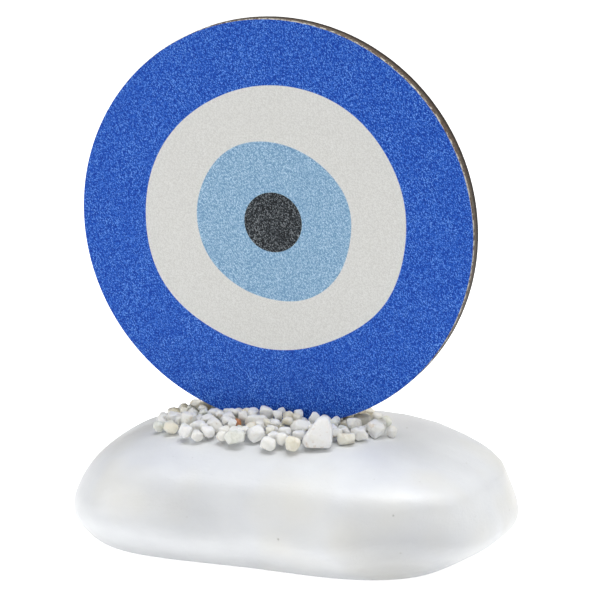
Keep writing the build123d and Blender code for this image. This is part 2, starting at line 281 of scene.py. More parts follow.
@dataclass(frozen=True)
class StonePaint:
    """Satin white paint brushed over cast plaster, with painted shade greying it in the dents."""

    colour: Colour = srgb(230, 232, 234)
    shade: Colour = srgb(222, 224, 227)
    warm: Colour = srgb(229, 228, 222)
    speck: Colour = srgb(176, 174, 168)
    painted_dent_shade: Colour = srgb(186, 188, 191)
    dent_shade_depth: float = 2.4
    dent_shade_share: float = 0.6
    skin_depth: float = 0.08
    pit_depth: float = 0.16

    def material(self) -> bpy.types.Material:
        """The finish as a material.

        Returns:
            The material.
        """
        paint = Shading("stone_paint")
        colour = paint.mix(paint.span(paint.grain(17, 3, 0.55), 0.35, 0.7), self.colour, self.shade)
        colour = paint.mix(paint.span(paint.grain(26, 2, 0.5), 0.5, 0.7, 0, 0.7), colour, self.warm)
        dent = paint.node("ShaderNodeAttribute", attribute_name="dent").outputs["Fac"]
        # Painted shade: the paint greys where the dents are deep.
        colour = paint.mix(paint.span(dent, 0, self.dent_shade_depth, 0, self.dent_shade_share), colour, self.painted_dent_shade)
        strokes = paint.grain(1, 3, 0.6, paint.stretched((0, 12, 6), (0.12, 0.8, 0.8)))
        skin = paint.grain(0.8, 2, 0.6)
        pores = paint.cells(4.5)
        rough_areas = paint.span(paint.grain(14, 2, 0.5), 0.5, 0.62)
        pits = paint.span(pores, 0.03, 0.09, 1, 0)
        pits = paint.math("MULTIPLY", pits, rough_areas)
        colour = paint.mix(paint.math("MULTIPLY", pits, 0.7), colour, self.speck)
        paint.relief((strokes, self.skin_depth), (skin, self.skin_depth), (pits, -self.pit_depth))
        roughness = paint.span(paint.grain(6, 2, 0.5), 0.3, 0.7, 0.34, 0.46)
        return paint.finish(colour, roughness, 0.5)


@dataclass(frozen=True)
class FaceFilm:
    """A printed field of the eye, with a fine leathery grain drawn out on a slant, its colour partly
    printed texture and partly painted shade in the grain's lows and painted highlights on its highs.
    """

    name: str
    colour: Colour
    deep: Colour
    bright: Colour
    dark_share: float = 0.72
    bright_share: float = 0.8
    grain_depth: float = 0.09
    slant: float = -52
    streak_width: float = 0.16
    bump_width: float = 0.33

    def material(self) -> bpy.types.Material:
        """The finish as a material.

        Returns:
            The material.
        """
        film = Shading(self.name)
        turn = (0, self.slant, 0)
        streaks = film.grain(self.streak_width, 1, 0.5, film.stretched(turn, (0.5, 1.0, 1.0)))
        bumps = film.cells(self.bump_width, film.stretched(turn, (0.6, 1.0, 1.0)))
        bumps = film.span(bumps, 0, 1, 0.7, 0.22)
        patches = film.grain(7, 2, 0.5)
        fleck = film.math("ADD", film.math("MULTIPLY", streaks, 0.5), film.math("MULTIPLY", bumps, 0.5))
        # Partly print, partly painted shade and painted highlight: darker in the grain's lows, bright
        # flecks on its highs.
        dark = film.span(fleck, 0.42, 0.485, self.dark_share, 0)
        bright = film.span(fleck, 0.515, 0.575, 0, self.bright_share)
        bright = film.math("MULTIPLY", bright, film.span(patches, 0.3, 0.7, 0.6, 1.0))
        colour = film.mix(dark, self.colour, self.deep)
        colour = film.mix(bright, colour, self.bright)
        film.relief((fleck, self.grain_depth))
        roughness = film.span(fleck, 0.4, 0.6, 0.52, 0.4)
        return film.finish(colour, roughness, 0.16)


@dataclass(frozen=True)
class PrimerEdge:
    """The cut edge of the printed face: pale primer, chipped away here and there."""

    primer: Colour = srgb(196, 192, 182)
    chipped: Colour = srgb(112, 98, 84)

    def material(self) -> bpy.types.Material:
        """The finish as a material.

        Returns:
            The material.
        """
        edge = Shading("primer_edge")
        chips = edge.grain(1.6, 3, 0.7)
        colour = edge.mix(edge.span(chips, 0.46, 0.56), self.primer, self.chipped)
        edge.relief((chips, 0.1))
        return edge.finish(colour, 0.7, 0.3)


@dataclass(frozen=True)
class ScorchedEdge:
    """The laser-cut rim of the board: smoky brown, pale primer in front, darker towards the back."""

    dark: Colour = srgb(40, 31, 24)
    brown: Colour = srgb(98, 80, 66)
    ash: Colour = srgb(110, 102, 90)
    primer: Colour = srgb(204, 202, 190)
    primer_width: float = 0.25 * MM

    def material(self, front: float, back: float) -> bpy.types.Material:
        """The finish as a material.

        Args:
            front: Y of the board's front.
            back: Y of its back.

        Returns:
            The material.
        """
        rim = Shading("scorched_edge")
        lines = rim.grain(1, 2, 0.6, rim.stretched((0, 0, 0), (2.6, 0.25, 2.6)))
        patches = rim.grain(5, 3, 0.6)
        colour = rim.mix(rim.span(patches, 0.4, 0.65), self.brown, self.ash)
        colour = rim.mix(rim.span(lines, 0.35, 0.62, 0.55, 0), colour, self.dark)
        depth = rim.node("ShaderNodeSeparateXYZ")
        rim.feed(rim.place, depth.inputs[0])
        wander = rim.math("ADD", depth.outputs["Y"], rim.math("MULTIPLY", patches, 1.2 * MM))
        middle = (front + back) / 2
        colour = rim.mix(rim.span(wander, middle, back - 0.6 * MM, 0, 0.95), colour, self.dark)
        primer_end = front + self.primer_width
        primed = rim.span(depth.outputs["Y"], primer_end, primer_end + self.primer_width, 1, 0)
        primed = rim.math("MULTIPLY", primed, rim.span(rim.grain(1.4, 3, 0.7), 0.46, 0.54))
        colour = rim.mix(primed, colour, self.primer)
        rim.relief((lines, 0.08))
        return rim.finish(colour, rim.span(patches, 0.3, 0.7, 0.62, 0.85), 0.3)


@dataclass(frozen=True)
class BoardBack:
    """The bare back of the board: fine fibres, browned by smoke towards the rim."""

    tan: Colour = srgb(176, 142, 104)
    fibre: Colour = srgb(146, 112, 78)
    smoke: Colour = srgb(92, 68, 48)

    def material(self, middle: Vector, radius: float) -> bpy.types.Material:
        """The finish as a material.

        Args:
            middle: Middle of the disc.
            radius: Its radius.

        Returns:
            The material.
        """
        back = Shading("board_back")
        away = back.node("ShaderNodeVectorMath", operation="DISTANCE")
        flat = back.node("ShaderNodeVectorMath", operation="MULTIPLY")
        flat.inputs[1].default_value = (1, 0, 1)
        back.feed(back.place, flat.inputs[0])
        back.feed(flat.outputs["Vector"], away.inputs[0])
        away.inputs[1].default_value = (middle.x, 0, middle.z)
        fibres = back.grain(0.5, 4, 0.7)
        clouds = back.grain(11, 3, 0.6)
        colour = back.mix(back.span(fibres, 0.4, 0.62), self.fibre, self.tan)
        outward = back.math("ADD", away.outputs["Value"], back.math("MULTIPLY", clouds, 7 * MM))
        scorch = back.span(outward, radius - 1.5 * MM, radius + 4.5 * MM, 0, 0.8)
        colour = back.mix(scorch, colour, self.smoke)
        back.relief((fibres, 0.03))
        return back.finish(colour, 0.78, 0.25)


@dataclass(frozen=True)
class Marble:
    """Tumbled marble, a little different from chip to chip."""

    name: str
    colour: Colour
    vein: Colour
    stain: Colour
    veined: float = 0.5
    rust: Colour = srgb(196, 164, 128)
    softness: float = 0.5
    light_depth: float = 2.2 * MM

    def material(self) -> bpy.types.Material:
        """The finish as a material.

        Returns:
            The material.
        """
        marble = Shading(self.name)
        tint = marble.node("ShaderNodeAttribute", attribute_name="tint").outputs["Fac"]
        veins = marble.grain(2.6, 4, 0.65)
        colour = marble.mix(marble.span(tint, 0, 1), self.colour, self.vein)
        colour = marble.mix(marble.span(veins, 0.5, 0.72, 0, self.veined), colour, self.stain)
        blots = marble.grain(3.4, 3, 0.7)
        colour = marble.mix(marble.span(blots, 0.6, 0.7, 0, 0.45), colour, self.rust)
        crystals = marble.grain(0.3, 2, 0.7)
        colour = marble.mix(marble.span(crystals, 0.55, 0.7, 0, 0.12), colour, self.stain)
        marble.relief((marble.grain(0.9, 3, 0.6), 0.18), (crystals, 0.05))
        self.soften(marble)
        return marble.finish(colour, marble.span(veins, 0.3, 0.7, 0.42, 0.6), 0.45)

    def soften(self, marble: Shading) -> None:
        """Let a little light into the chips.

        Args:
            marble: The material under construction.
        """
        marble.surface.inputs["Subsurface Weight"].default_value = self.softness
        marble.surface.inputs["Subsurface Radius"].default_value = (1.0, 0.95, 0.85)
        marble.surface.inputs["Subsurface Scale"].default_value = self.light_depth


@dataclass(frozen=True)
class SetAdhesive:
    """White assembly adhesive, set hard and slightly glossy."""

    colour: Colour = srgb(236, 233, 224)
    shade: Colour = srgb(214, 208, 192)

    def material(self) -> bpy.types.Material:
        """The finish as a material.

        Returns:
            The material.
        """
        bead = Shading("set_adhesive")
        lumps = bead.grain(1.5, 2, 0.5)
        colour = bead.mix(bead.span(lumps, 0.4, 0.7), self.colour, self.shade)
        bead.relief((lumps, 0.15))
        return bead.finish(colour, 0.4)


class Tone(Enum):
    """Sorts of marble in the gravel, by the record's material slot."""

    WHITE = "marble_white"
    CREAM = "marble_cream"
    GREY = "marble_grey"
    RUST = "marble_rust"

    @property
    def finish(self) -> Marble:
        """The sort's finish.

        Returns:
            The finish.
        """
        return {
            Tone.WHITE: Marble(
                "marble_white", srgb(251, 250, 246), srgb(244, 242, 234), srgb(228, 225, 212), 0.35
            ),
            Tone.CREAM: Marble(
                "marble_cream", srgb(247, 244, 231), srgb(238, 231, 211), srgb(216, 204, 174), 0.6
            ),
            Tone.GREY: Marble(
                "marble_grey", srgb(240, 241, 233), srgb(228, 230, 218), srgb(196, 198, 184), 0.6
            ),
            Tone.RUST: Marble(
                "marble_rust", srgb(206, 150, 104), srgb(190, 124, 78), srgb(150, 86, 50), 0.8
            ),
        }[self]


# ---------------------------------------------------------------- mesh helpers


def piece_from(
    name: str, points: Iterable, faces: Iterable, material: bpy.types.Material
) -> bpy.types.Object:
    """A smooth-shaded mesh object in the frame's own coordinates.

    Args:
        name: The object's name.
        points: Its points in metres.
        faces: Corner numbers of each face.
        material: Its first material.

    Returns:
        The object, linked to the scene.
    """
    mesh = bpy.data.meshes.new(name)
    corners = [tuple(map(float, point)) for point in points]
    mesh.from_pydata(corners, [], [tuple(map(int, face)) for face in faces])
    mesh.validate()
    mesh.polygons.foreach_set("use_smooth", [True] * len(mesh.polygons))
    mesh.materials.append(material)
    made = bpy.data.objects.new(name, mesh)
    bpy.context.collection.objects.link(made)
    return made


def band(first: int, second: int, count: int) -> list[tuple[int, int, int, int]]:
    """Four-sided faces between two closed loops of points.

    Args:
        first: Number of the first loop's first point.
        second: Number of the second loop's first point.
        count: How many points each loop has.

    Returns:
        The faces.
    """
    faces = []
    for here in range(count):
        following = (here + 1) % count
        faces.append((first + here, first + following, second + following, second + here))
    return faces


def apply_modifiers(piece: bpy.types.Object) -> None:
    """Replace a piece's mesh by what its modifiers make of it.

    Args:
        piece: The piece.
    """
    bpy.context.view_layer.update()
    graph = bpy.context.evaluated_depsgraph_get()
    mesh = bpy.data.meshes.new_from_object(piece.evaluated_get(graph))
    piece.modifiers.clear()
    piece.data = mesh


def settle(piece: bpy.types.Object, slot: str, *nodes: str) -> bpy.types.Object:
    """Attach a finished piece to its body, hide the CAD nodes that it stands for and log it.

    Args:
        piece: The piece.
        slot: The record's material slot; not used.
        *nodes: CAD nodes that it replaces.

    Returns:
        The piece.
    """
    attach(piece, ROOT)
    if nodes:
        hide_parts(*nodes)
    LOG.info("%s: %d faces, stands for %s", piece.name, len(piece.data.polygons), ", ".join(nodes) or "-")
    return piece


def node_points(node: bpy.types.Object) -> np.ndarray:
    """The points of a CAD node's mesh.

    Args:
        node: The CAD node.

    Returns:
        One row for each point, in metres.
    """
    points = np.empty(len(node.data.vertices) * 3)
    node.data.vertices.foreach_get("co", points)
    return points.reshape(-1, 3)


# ---------------------------------------------------------------- the stone


@dataclass(frozen=True)
class Hollow:
    """A shallow dent in the cast stone, or a swelling where its depth is negative."""

    middle: Vector
    reach: Vector
    depth: float

    def placed(self, low: Vector, high: Vector) -> Hollow:
        """The same dent, with its middle turned from shares of a box into metres.

        Args:
            low: The box's lowest corner.
            high: Its highest corner.

        Returns:
            The placed dent.
        """
        return replace(self, middle=low + self.middle * (high - low))

    def at(self, place: Vector) -> float:
        """How deep the dent is here.

        Args:
            place: A point on the stone.

        Returns:
            The depth in metres.
        """
        away = sum(((place[axis] - self.middle[axis]) / self.reach[axis]) ** 2 for axis in range(3))
        return self.depth * math.exp(-away)


@dataclass
class StoneBase:
    """The cast stone, smooth and slightly uneven, with the slot for the board.

    The middles of the dents are shares of the stone's box, across, back and up.
    """

    node: bpy.types.Object
    voxel: float = 1.0 * MM
    lump_height: float = 0.7 * MM
    lump_width: float = 24 * MM
    dimple_height: float = 0.14 * MM
    dimple_width: float = 6 * MM
    paint: StonePaint = field(default_factory=StonePaint)
    hollows: tuple[Hollow, ...] = (
        Hollow(Vector((0.386, 0.015, 0.525)), Vector((9, 12, 6)) * MM, 1.3 * MM),
        Hollow(Vector((0.836, 0.056, 0.321)), Vector((14, 14, 9)) * MM, 2.6 * MM),
        Hollow(Vector((0.697, 0.002, 0.437)), Vector((4, 10, 9)) * MM, -0.5 * MM),
        Hollow(Vector((0.279, 0.029, 0.641)), Vector((5, 8, 5)) * MM, -0.5 * MM),
        Hollow(Vector((0.886, 0.163, 0.729)), Vector((9, 9, 6)) * MM, -0.7 * MM),
    )
    shoulder_share: float = 0.743
    shoulder_width: float = 3.6 * MM
    shoulder_swell: float = 0.8 * MM
    shoulder_turn: float = 0.15
    groove_share: float = 0.7
    groove_away: float = 1.9
    underside: float = 0.12 * MM
    fade_start: float = 1.5 * MM
    fade_height: float = 4 * MM

    def build(self) -> bpy.types.Object:
        """Make the stone from its CAD solid.

        Returns:
            The piece.
        """
        stone = self.filled_copy()
        self.even_out(stone)
        self.cast_unevenness(stone)
        self.cut_slot(stone)
        self.dress(stone)
        return settle(stone, "stone_paint", "stone_base")

    def filled_copy(self) -> bpy.types.Object:
        """A copy of the solid's mesh with its slot closed over.

        Returns:
            The copy.
        """
        low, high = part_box("slot_adhesive")
        slack = 0.05 * MM
        shell = bmesh.new()
        shell.from_mesh(self.node.data)
        bmesh.ops.remove_doubles(shell, verts=shell.verts, dist=1e-6)

        def in_slot(point: Vector) -> bool:
            """Whether a point lies on the slot's walls or floor.

            Args:
                point: A corner of the mesh.

            Returns:
                True in the slot.
            """
            across = low.x - slack < point.x < high.x + slack
            along = low.y - slack < point.y < high.y + slack
            return across and along and point.z > low.z - slack

        inside = [f for f in shell.faces if all(in_slot(v.co) for v in f.verts)]
        bmesh.ops.delete(shell, geom=inside, context="FACES")
        bmesh.ops.holes_fill(shell, edges=[e for e in shell.edges if e.is_boundary], sides=0)
        bmesh.ops.triangulate(shell, faces=shell.faces)
        mesh = bpy.data.meshes.new("stone")
        shell.to_mesh(mesh)
        shell.free()
        stone = bpy.data.objects.new("stone", mesh)
        bpy.context.collection.objects.link(stone)
        return stone

    def even_out(self, stone: bpy.types.Object) -> None:
        """Remesh the copy evenly and smooth the facets away.

        Args:
            stone: The copy.
        """
        remesh = stone.modifiers.new("even", "REMESH")
        remesh.mode = "VOXEL"
        remesh.voxel_size = self.voxel
        relax = stone.modifiers.new("relax", "LAPLACIANSMOOTH")
        relax.iterations = 6
        relax.lambda_factor = 1.5
        relax.use_volume_preserve = True
        apply_modifiers(stone)

    def cast_unevenness(self, stone: bpy.types.Object) -> None:
        """Move the surface in and out a little, but not the flat underside, and mark the dents' depths for
        the painted shade.

        Args:
            stone: The stone.
        """
        low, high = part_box("stone_base")
        hollows = [hollow.placed(low, high) for hollow in self.hollows]
        outward = [vertex.normal.copy() for vertex in stone.data.vertices]
        dents = stone.data.attributes.new("dent", "FLOAT", "POINT").data
        for vertex, normal, shade_depth in zip(stone.data.vertices, outward, dents):
            place = vertex.co
            lumps = noise.noise(place / self.lump_width) * self.lump_height
            dimples = noise.noise(place / self.dimple_width + Vector((7, 3, 1))) * self.dimple_height
            dent = sum(hollow.at(place) for hollow in hollows)
            # The dents' depths drive the painted shade in the stone's paint.
            shade_depth.value = dent / MM
            dent -= self.shoulder(place.z - self.shoulder_share * high.z, normal)
            fade = min(1.0, max(0.0, (place.z - self.fade_start) / self.fade_height))
            vertex.co = place + normal * (lumps + dimples - dent - 0.3 * self.lump_height) * fade
        for vertex in stone.data.vertices:
            for axis in range(3):
                vertex.co[axis] = min(max(vertex.co[axis], low[axis]), high[axis])
            if vertex.co.z < self.underside:
                vertex.co.z = 0

    def shoulder(self, above: float, normal: Vector) -> float:
        """How far the rounded shoulder under the top stands out here: only at the front.

        Args:
            above: Height above the shoulder's middle.
            normal: The stone's direction here.

        Returns:
            The swelling in metres, negative in the soft hollows above and below it.
        """
        away = above / self.shoulder_width
        share = min(1.0, max(0.0, self.shoulder_turn - normal.y))
        facing = share * share * (3 - 2 * share)
        grooves = self.groove_share * math.exp(-((abs(away) - self.groove_away) ** 2))
        return self.shoulder_swell * facing * (math.exp(-(away**2)) - grooves)

    def cut_slot(self, stone: bpy.types.Object) -> None:
        """Cut the slot for the board's tongue again.

        Args:
            stone: The stone.
        """
        low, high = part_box("slot_adhesive")
        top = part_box("stone_base")[1].z + 5 * MM
        tool_mesh = bpy.data.meshes.new("slot_tool")
        shape = bmesh.new()
        bmesh.ops.create_cube(shape, size=1)
        shape.to_mesh(tool_mesh)
        shape.free()
        tool = bpy.data.objects.new("slot_tool", tool_mesh)
        bpy.context.collection.objects.link(tool)
        tool.scale = (high.x - low.x, high.y - low.y, top - low.z)
        tool.location = ((low.x + high.x) / 2, (low.y + high.y) / 2, (low.z + top) / 2)
        cut = stone.modifiers.new("slot", "BOOLEAN")
        cut.operation = "DIFFERENCE"
        cut.solver = "EXACT"
        cut.object = tool
        apply_modifiers(stone)
        bpy.data.objects.remove(tool)

    def dress(self, stone: bpy.types.Object) -> None:
        """Paint the stone.

        Args:
            stone: The stone.
        """
        stone.data.materials.clear()
        stone.data.materials.append(self.paint.material())
        stone.data.polygons.foreach_set("use_smooth", [True] * len(stone.data.polygons))
        stone.data.set_sharp_from_angle(angle=math.radians(50))


# ---------------------------------------------------------------- the disc


@dataclass
class EyeDisc:
    """The board with its tongue, and the four fields of the painted face on its front."""

    nodes: dict[str, bpy.types.Object]
    arc_steps: int = 480
    edge_round: float = 0.12 * MM
    scorch_depth: float = 0.05 * MM
    scorch_width: float = 0.7 * MM
    rim_rows: int = 8
    tongue_side_steps: int = 12
    tongue_end_steps: int = 24
    face_rows: int = 10
    harmonics: int = 9
    ring_gap: float = 5 * MM

    def __post_init__(self) -> None:
        """Read the disc's sizes off the frame."""
        low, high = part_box("eye_board")
        self.radius = (high.x - low.x) / 2
        self.middle = Vector(((low.x + high.x) / 2, (low.y + high.y) / 2, high.z - self.radius))
        self.front_y = low.y
        self.back_y = high.y
        points = node_points(self.nodes["eye_board"])
        tongue = points[points[:, 2] < low.z + 0.01 * MM]
        self.tongue_half = (tongue[:, 0].max() - tongue[:, 0].min()) / 2
        self.tongue_bottom = low.z

    def build(self) -> list[bpy.types.Object]:
        """Make the board and the face."""
        return [self.board(), *self.face()]

    def board_outline(self) -> np.ndarray:
        """The board's outline, round and then down about the tongue.

        Returns:
            X and Z of its points, from the disc's middle.
        """
        half_gap = math.asin(self.tongue_half / self.radius)
        angles = np.linspace(-math.pi / 2 + half_gap, 1.5 * math.pi - half_gap, self.arc_steps)
        arc = np.stack([np.cos(angles), np.sin(angles)], axis=1) * self.radius
        down = self.tongue_bottom - self.middle.z
        drop = np.linspace(arc[-1][1], down, self.tongue_side_steps)[1:]
        left = np.stack([np.full(len(drop), -self.tongue_half), drop], axis=1)
        below = np.linspace(-self.tongue_half, self.tongue_half, self.tongue_end_steps)[1:-1]
        under = np.stack([below, np.full(len(below), down)], axis=1)
        right = np.stack([np.full(len(drop), self.tongue_half), drop[::-1]], axis=1)
        return np.concatenate([arc, left, under, right])

    def board(self) -> bpy.types.Object:
        """The board: rounded edges, and a rim roughened by the laser.

        Returns:
            The piece.
        """
        outline = self.board_outline()
        count = len(outline)
        step = np.roll(outline, -1, axis=0) - np.roll(outline, 1, axis=0)
        inward = np.stack([-step[:, 1], step[:, 0]], axis=1)
        inward /= np.linalg.norm(inward, axis=1)[:, None]
        depth = self.back_y - self.front_y
        rows = [(0.0, self.edge_round)]
        for share in np.linspace(0, 1, self.rim_rows):
            rows.append((self.edge_round + share * (depth - 2 * self.edge_round), 0.0))
        rows.append((depth, self.edge_round))
        points = []
        for back, inset in rows:
            for corner, normal in zip(outline, inward):
                place = Vector((corner[0], back, corner[1]))
                char = abs(noise.noise(place / self.scorch_width)) * self.scorch_depth
                moved = corner + normal * (inset + char)
                points.append((self.middle.x + moved[0], self.front_y + back, self.middle.z + moved[1]))
        faces = []
        for row in range(len(rows) - 1):
            faces += band(row * count, (row + 1) * count, count)
        last = (len(rows) - 1) * count
        faces.append(tuple(range(count))[::-1])
        faces.append(tuple(range(last, last + count)))
        board = piece_from("board", points, faces, ScorchedEdge().material(self.front_y, self.back_y))
        board.data.materials.append(BoardBack().material(self.middle, self.radius))
        for flat in board.data.polygons[-2:]:
            flat.material_index = 1
        board.data.set_sharp_from_angle(angle=math.radians(35))
        return settle(board, "board", "eye_board")

    def ring_radii(self, name: str) -> list[np.ndarray]:
        """Inner and outer radius of a field at even angles, as smooth curves.

        Args:
            name: The CAD node.

        Returns:
            The field's curves from the inside out, one for a solid field and two for a ring.
        """
        points = node_points(self.nodes[name])
        across = points[:, 0] - self.middle.x
        up = points[:, 2] - self.middle.z
        radius = np.hypot(across, up)
        angle = np.arctan2(up, across)
        order = np.sort(radius)
        widest = int(np.argmax(np.diff(order)))
        split = (order[widest] + order[widest + 1]) / 2
        is_ring = order[widest + 1] - order[widest] > self.ring_gap
        parts = [radius < split, radius >= split] if is_ring else [radius > 0]
        return [self.smooth_curve(angle[part], radius[part]) for part in parts]

    def smooth_curve(self, angle: np.ndarray, radius: np.ndarray) -> np.ndarray:
        """Radii at even angles of the wave that passes through the given ones.

        Args:
            angle: Angles of the given radii.
            radius: The radii.

        Returns:
            One radius for each of the arc's steps.
        """

        def waves(at: np.ndarray) -> np.ndarray:
            """Sines and cosines of each harmonic.

            Args:
                at: Angles.

            Returns:
                One row for each angle.
            """
            columns = [np.ones_like(at)]
            for harmonic in range(1, self.harmonics + 1):
                columns += [np.cos(harmonic * at), np.sin(harmonic * at)]
            return np.stack(columns, axis=1)

        weights = np.linalg.lstsq(waves(angle), radius, rcond=None)[0]
        even = np.linspace(0, 2 * math.pi, self.arc_steps, endpoint=False)
        return waves(even) @ weights

    def face(self) -> list[bpy.types.Object]:
        """The four fields of the face.

        Returns:
            The pieces.
        """
        blue = FaceFilm("film_blue", srgb(32, 94, 204), srgb(0, 38, 146), srgb(128, 184, 255))
        white = FaceFilm(
            "film_white", srgb(229, 229, 225), srgb(208, 207, 203), srgb(246, 246, 244), 0.5, 0.5, 0.04
        )
        light_blue = FaceFilm(
            "film_light_blue", srgb(152, 190, 219), srgb(100, 146, 190), srgb(206, 232, 250), 0.8, 0.9, 0.06
        )
        black = FaceFilm(
            "film_black", srgb(50, 56, 62), srgb(6, 9, 12), srgb(186, 192, 196), 0.9, 0.6, 0.08
        )
        films = {
            "blue_field": blue,
            "white_field": white,
            "light_blue_field": light_blue,
            "pupil_field": black,
        }
        edge = PrimerEdge().material()
        return [self.painted_field(name, film, edge) for name, film in films.items()]

    def painted_field(self, name: str, film: FaceFilm, edge: bpy.types.Material) -> bpy.types.Object:
        """One field as a thin plate between its curves.

        Args:
            name: The CAD node.
            film: Its finish, named for its material slot.
            edge: Material of its cut edge.

        Returns:
            The piece.
        """
        low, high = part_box(name)
        curves = self.ring_radii(name)
        outer = curves[-1]
        inner = curves[0] if len(curves) > 1 else outer * 0.02
        even = np.linspace(0, 2 * math.pi, self.arc_steps, endpoint=False)
        rows = []
        for share in np.linspace(0, 1, self.face_rows):
            rows.append((inner + (outer - inner) * share, low.y))
        rows.append((outer, high.y))
        rows.append((inner, high.y))
        points = []
        for radii, y in rows:
            for radius, angle in zip(radii, even):
                across, up = radius * math.cos(angle), radius * math.sin(angle)
                points.append((self.middle.x + across, y, self.middle.z + up))
        faces = []
        count = self.arc_steps
        loops = list(range(len(rows))) + [0] if len(curves) > 1 else list(range(len(rows)))
        for row, following_row in zip(loops, loops[1:]):
            faces += band(row * count, following_row * count, count)
        if len(curves) == 1:
            faces.append(tuple(range(count))[::-1])
            last = (len(rows) - 1) * count
            faces.append(tuple(range(last, last + count)))
        plate = piece_from(f"{name}_film", points, faces, film.material())
        plate.data.materials.append(edge)
        outer_wall = (self.face_rows - 1) * count
        for side in plate.data.polygons[outer_wall : outer_wall + count]:
            side.material_index = 1
        plate.data.set_sharp_from_angle(angle=math.radians(30))
        return settle(plate, film.name, name)


# ---------------------------------------------------------------- the gravel


@dataclass
class Gravel:
    """Tumbled marble: each flat-sided CAD chip becomes a rounded one of the same size and place."""

    nodes: dict[str, bpy.types.Object]
    slots: dict[str, str]
    fine: int = 4
    coarse: int = 3
    fine_above: float = 3.4 * MM
    swell: float = 0.24 * MM
    sharpness: tuple[float, float] = (20, 60)
    broad_wear: float = 0.045
    broad_width: float = 2.2
    small_wear: float = 0.016
    small_width: float = 0.7
    seed: int = 5

    def build(self) -> list[bpy.types.Object]:
        """Make every chip, node by node.

        Returns:
            The pieces.
        """
        chance = np.random.default_rng(self.seed)
        spheres = {level: self.sphere(level) for level in (self.fine, self.coarse)}
        materials = {tone.value: tone.finish.material() for tone in Tone}
        pieces = []
        for name, node in sorted(self.nodes.items()):
            slot = self.slots[name]
            if slot in materials:
                pieces.append(self.tumbled(name, node, slot, materials[slot], spheres, chance))
        return pieces

    def sphere(self, level: int) -> tuple[np.ndarray, np.ndarray]:
        """Even directions about a point and the triangles between them.

        Args:
            level: How often the sphere's triangles are divided.

        Returns:
            Unit directions and triangles.
        """
        shape = bmesh.new()
        bmesh.ops.create_icosphere(shape, subdivisions=level, radius=1)
        directions = np.array([v.co[:] for v in shape.verts])
        triangles = np.array([[v.index for v in f.verts] for f in shape.faces])
        shape.free()
        return directions, triangles

    def chips_of(self, node: bpy.types.Object) -> list[tuple[np.ndarray, np.ndarray, np.ndarray]]:
        """Each separate chip of a node: its middle, and its flat sides' directions and distances.

        Args:
            node: The CAD node.

        Returns:
            One entry for each chip.
        """
        shape = bmesh.new()
        shape.from_mesh(node.data)
        bmesh.ops.remove_doubles(shape, verts=shape.verts, dist=1e-7)
        shape.verts.ensure_lookup_table()
        left = set(shape.verts)
        found = []
        while left:
            start = min(left, key=lambda vertex: vertex.index)
            group = {start}
            front = [start]
            while front:
                vertex = front.pop()
                for edge in vertex.link_edges:
                    other = edge.other_vert(vertex)
                    if other not in group:
                        group.add(other)
                        front.append(other)
            left -= group
            middle = np.mean([v.co[:] for v in group], axis=0)
            sides = {}
            for vertex in group:
                for face in vertex.link_faces:
                    normal = face.normal
                    distance = (face.verts[0].co - Vector(middle)).dot(normal)
                    sides[tuple(round(value, 3) for value in normal)] = (tuple(normal), distance)
            directions = np.array([side[0] for side in sides.values()])
            distances = np.array([side[1] for side in sides.values()])
            found.append((middle, directions, distances))
        shape.free()
        return found

    def tumbled(
        self,
        name: str,
        node: bpy.types.Object,
        slot: str,
        material: bpy.types.Material,
        spheres: dict[int, tuple[np.ndarray, np.ndarray]],
        chance: np.random.Generator,
    ) -> bpy.types.Object:
        """One node's chips, rounded.

        Args:
            name: The CAD node's name.
            node: The CAD node.
            slot: Its material slot.
            material: Its material.
            spheres: Directions and triangles by level.
            chance: Source of the chips' differences.

        Returns:
            The piece.
        """
        points, faces, tints = [], [], []
        first = 0
        for middle, directions, distances in self.chips_of(node):
            width = distances.mean() * 2
            level = self.fine if width > self.fine_above else self.coarse
            sphere, triangles = spheres[level]
            sharpness = chance.uniform(*self.sharpness)
            facing = np.clip(sphere @ directions.T, 0, None) / (distances + self.swell)
            reach = (facing**sharpness).sum(axis=1) ** (-1 / sharpness)
            offset = Vector(chance.uniform(-50, 50, 3))
            worn = np.empty(len(sphere))
            for number, direction in enumerate(sphere):
                place = Vector(direction) * (width / MM)
                broad = 1 + noise.noise(place / self.broad_width + offset)
                small = 1 + noise.noise(place / self.small_width + offset)
                worn[number] = 1 - self.broad_wear * broad - self.small_wear * small
            points.append(middle + sphere * (reach * worn)[:, None])
            faces.append(triangles + first)
            tints.append(np.full(len(sphere), chance.uniform()))
            first += len(sphere)
        piece = piece_from(f"{name}_tumbled", np.concatenate(points), np.concatenate(faces), material)
        tint = piece.data.attributes.new("tint", "FLOAT", "POINT")
        tint.data.foreach_set("value", np.concatenate(tints))
        return settle(piece, slot, name)


# ---------------------------------------------------------------- the adhesive


@dataclass
class SlotAdhesive:
    """The adhesive in the slot: its CAD solid keeps its shape and gets a finish."""

    node: bpy.types.Object
    bead: SetAdhesive = field(default_factory=SetAdhesive)

    def dress(self) -> None:
        """Give the solid its finish."""
        self.node.data.materials.clear()
        self.node.data.materials.append(self.bead.material())
        LOG.info("%s: %d faces, the CAD solid", self.node.name, len(self.node.data.polygons))


# ---------------------------------------------------------------- studio


@dataclass(frozen=True)
class Panel:
    """A square lamp: its name, where it hangs in metres, and its power in watts."""

    name: str
    place: tuple[float, float, float]
    power: float


